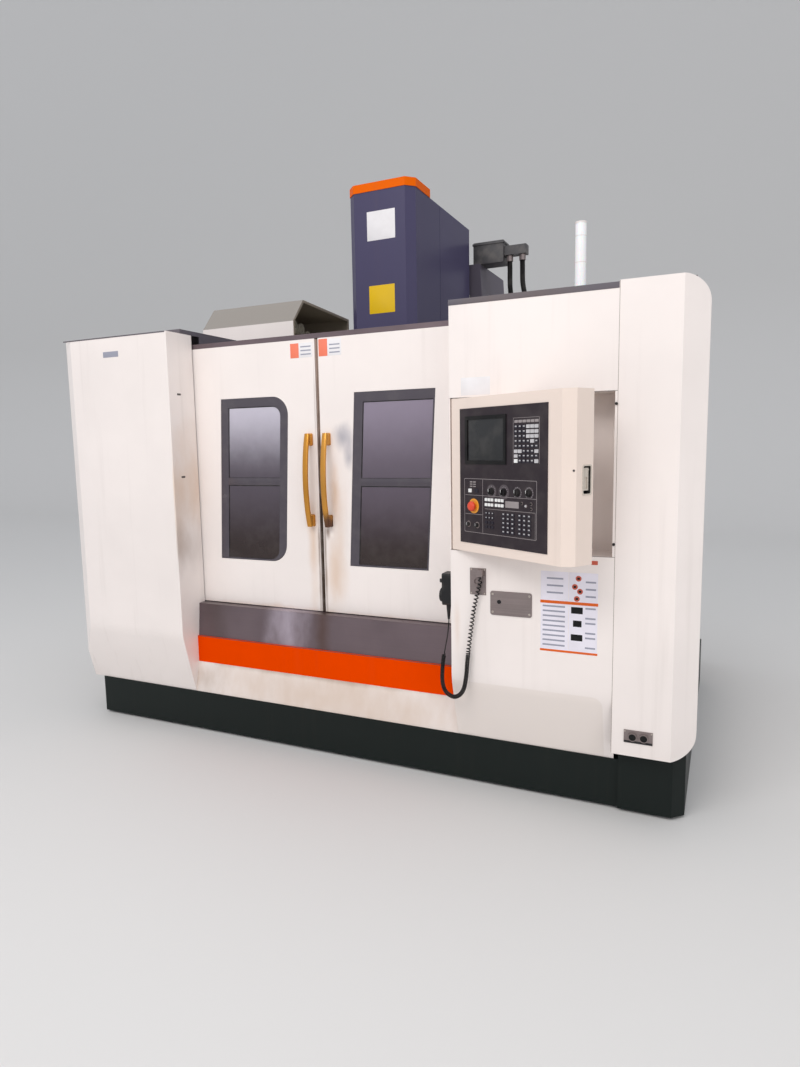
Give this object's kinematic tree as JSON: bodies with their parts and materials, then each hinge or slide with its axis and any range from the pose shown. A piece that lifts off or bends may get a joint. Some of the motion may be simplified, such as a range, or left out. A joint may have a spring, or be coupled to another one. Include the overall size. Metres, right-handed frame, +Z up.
{
  "type": "cnc machining center",
  "caption": "Vertical milling machine in a sheet-metal enclosure with sliding doors, swing-out operator box, moving table and head, tool magazine and change arm.",
  "frame": {"origin": "middle of the footprint at the floor, under the levelling feet", "axes": "+Z up, the doors face -Y, +X to the operator's right"},
  "size_m": [3.22, 2.8974, 2.952],
  "materials": {
    "white_panels": "semi-gloss",
    "dark_paint": "semi-gloss",
    "orange_paint": "semi-gloss",
    "grey_sheet": "satin",
    "black_paint": "satin",
    "castings": "painted and machined",
    "steel": "ground",
    "bronze_handles": "semi-gloss",
    "tinted_glass": "gloss",
    "black_plastic": "satin",
    "face_plate": "satin",
    "screen": "gloss",
    "keys": "satin",
    "red_plastic": "gloss",
    "pot_plastic": "satin",
    "lamp": "translucent",
    "cables": "matt",
    "plates": "satin"
  },
  "bodies": {
    "base": {"bed": "castings", "column": "castings", "ways_and_screws": "steel", "levelling_feet": "steel", "base_skirt": "black_paint", "left_front_panel": "white_panels", "left_side_panel": "white_panels", "right_upper_panel": "white_panels", "right_lower_panel": "white_panels", "pendant_bay": "white_panels", "right_fairing": "white_panels", "right_side_panel": "white_panels", "cabinet_roofs": "dark_paint", "rear_panel": "white_panels", "inner_enclosure": "grey_sheet", "front_apron": "grey_sheet", "orange_band": "orange_paint", "sill_panel": "white_panels", "door_tracks": "black_paint", "magazine_hood": "white_panels", "changer_box": "castings", "wall_plates": "plates", "signal_lamp": "lamp", "conduits": "cables", "handwheel_unit": "black_plastic", "lead_straight": "cables", "lead_curly": "cables", "electrical_cabinet": "white_panels"},
    "left_door": {"left_door": "white_panels", "left_window": "tinted_glass", "left_handle": "bronze_handles"},
    "right_door": {"right_door": "white_panels", "right_window": "tinted_glass", "right_handle": "bronze_handles"},
    "operator_box": {"pendant_box": "white_panels", "pendant_plate": "face_plate", "screen": "screen", "key_fields": "keys"},
    "stop_button": {"stop_button": "red_plastic"},
    "mode_knob": {"mode_knob": "black_plastic"},
    "feed_knob": {"feed_knob": "black_plastic"},
    "rapid_knob": {"rapid_knob": "black_plastic"},
    "speed_knob": {"speed_knob": "black_plastic"},
    "pendant_latch": {"pendant_latch": "black_plastic"},
    "saddle": {"saddle": "castings"},
    "table": {"table": "castings"},
    "way_cover_a": {"way_cover_a": "grey_sheet"},
    "way_cover_b": {"way_cover_b": "grey_sheet"},
    "head": {"spindle_head": "castings", "head_cover": "dark_paint", "cover_cap": "orange_paint"},
    "spindle": {"spindle": "steel"},
    "tool_disc": {"tool_disc": "pot_plastic"},
    "arm_shaft": {"arm_shaft": "steel"},
    "change_arm": {"change_arm": "castings"},
    "cabinet_door": {"cabinet_door": "white_panels"},
    "main_switch": {"main_switch": "red_plastic"},
    "handwheel_dial": {"handwheel_dial": "black_plastic"},
    "axis_selector": {"axis_selector": "black_plastic"},
    "step_selector": {"step_selector": "black_plastic"}
  },
  "joints": [
    {"name": "left_door_slide", "type": "slide", "parent": "base", "child": "left_door", "axis": [-1, 0, 0], "range_m": [0, 0.67]},
    {"name": "right_door_slide", "type": "slide", "parent": "base", "child": "right_door", "axis": [1, 0, 0], "range_m": [0, 0.67]},
    {"name": "operator_box_swing", "type": "hinge", "parent": "base", "child": "operator_box", "pos_m": [0.645, -1.1393, 1.376], "axis": [0, 0, 1], "range_deg": [-60, 30]},
    {"name": "stop_press", "type": "slide", "parent": "operator_box", "child": "stop_button", "axis": [0.5, 0.866, 0], "range_m": [0, 0.006]},
    {"name": "mode_knob_turn", "type": "hinge", "parent": "operator_box", "child": "mode_knob", "pos_m": [0.84794, -1.27379, 1.317], "axis": [-0.5, -0.866, 0], "range_deg": [-120, 120]},
    {"name": "feed_knob_turn", "type": "hinge", "parent": "operator_box", "child": "feed_knob", "pos_m": [0.9077, -1.30829, 1.317], "axis": [-0.5, -0.866, 0], "range_deg": [-120, 120]},
    {"name": "rapid_knob_turn", "type": "hinge", "parent": "operator_box", "child": "rapid_knob", "pos_m": [0.97092, -1.34479, 1.318], "axis": [-0.5, -0.866, 0], "range_deg": [-120, 120]},
    {"name": "speed_knob_turn", "type": "hinge", "parent": "operator_box", "child": "speed_knob", "pos_m": [1.02288, -1.37479, 1.319], "axis": [-0.5, -0.866, 0], "range_deg": [-120, 120]},
    {"name": "latch_press", "type": "hinge", "parent": "operator_box", "child": "pendant_latch", "pos_m": [1.2249, -1.38289, 1.405], "axis": [0.5, 0.866, 0], "range_deg": [0, 10]},
    {"name": "saddle_slide", "type": "slide", "parent": "base", "child": "saddle", "axis": [0, 1, 0], "range_m": [-0.35, 0.35]},
    {"name": "table_slide", "type": "slide", "parent": "saddle", "child": "table", "axis": [1, 0, 0], "range_m": [-0.55, 0.55]},
    {"name": "way_cover_a_slide", "type": "slide", "parent": "base", "child": "way_cover_a", "axis": [0, 1, 0], "range_m": [-0.117, 0.117]},
    {"name": "way_cover_b_slide", "type": "slide", "parent": "base", "child": "way_cover_b", "axis": [0, 1, 0], "range_m": [-0.234, 0.234]},
    {"name": "head_slide", "type": "slide", "parent": "base", "child": "head", "axis": [0, 0, 1], "range_m": [-0.7, 0]},
    {"name": "spindle_spin", "type": "hinge", "parent": "head", "child": "spindle", "pos_m": [-0.12, 0.0047, 1.74], "axis": [0, 0, 1], "continuous": true},
    {"name": "tool_disc_spin", "type": "hinge", "parent": "base", "child": "tool_disc", "pos_m": [-0.93, 0.0047, 2.01], "axis": [1, 0, 0], "continuous": true},
    {"name": "arm_drop", "type": "slide", "parent": "base", "child": "arm_shaft", "axis": [0, 0, 1], "range_m": [-0.11, 0]},
    {"name": "change_arm_turn", "type": "hinge", "parent": "arm_shaft", "child": "change_arm", "pos_m": [-0.45, 0.0047, 1.708], "axis": [0, 0, -1], "range_deg": [0, 90]},
    {"name": "cabinet_door_hinge", "type": "hinge", "parent": "base", "child": "cabinet_door", "pos_m": [1.51, 1.2007, 1.175], "axis": [0, 0, -1], "range_deg": [0, 110]},
    {"name": "main_switch_turn", "type": "hinge", "parent": "cabinet_door", "child": "main_switch", "pos_m": [0.66, 1.2127, 1.6], "axis": [0, 1, 0], "range_deg": [0, 90]},
    {"name": "handwheel_spin", "type": "hinge", "parent": "base", "child": "handwheel_dial", "pos_m": [0.583, -1.1063, 0.852], "axis": [1, 0, 0], "continuous": true},
    {"name": "axis_selector_turn", "type": "hinge", "parent": "base", "child": "axis_selector", "pos_m": [0.583, -1.1263, 0.918], "axis": [1, 0, 0], "range_deg": [-90, 90]},
    {"name": "step_selector_turn", "type": "hinge", "parent": "base", "child": "step_selector", "pos_m": [0.583, -1.0863, 0.918], "axis": [1, 0, 0], "range_deg": [-60, 60]}
  ],
  "couplings": [
    {"joint": "way_cover_a_slide", "follows": "saddle_slide", "ratio": 0.33333},
    {"joint": "way_cover_b_slide", "follows": "saddle_slide", "ratio": 0.66667}
  ]
}
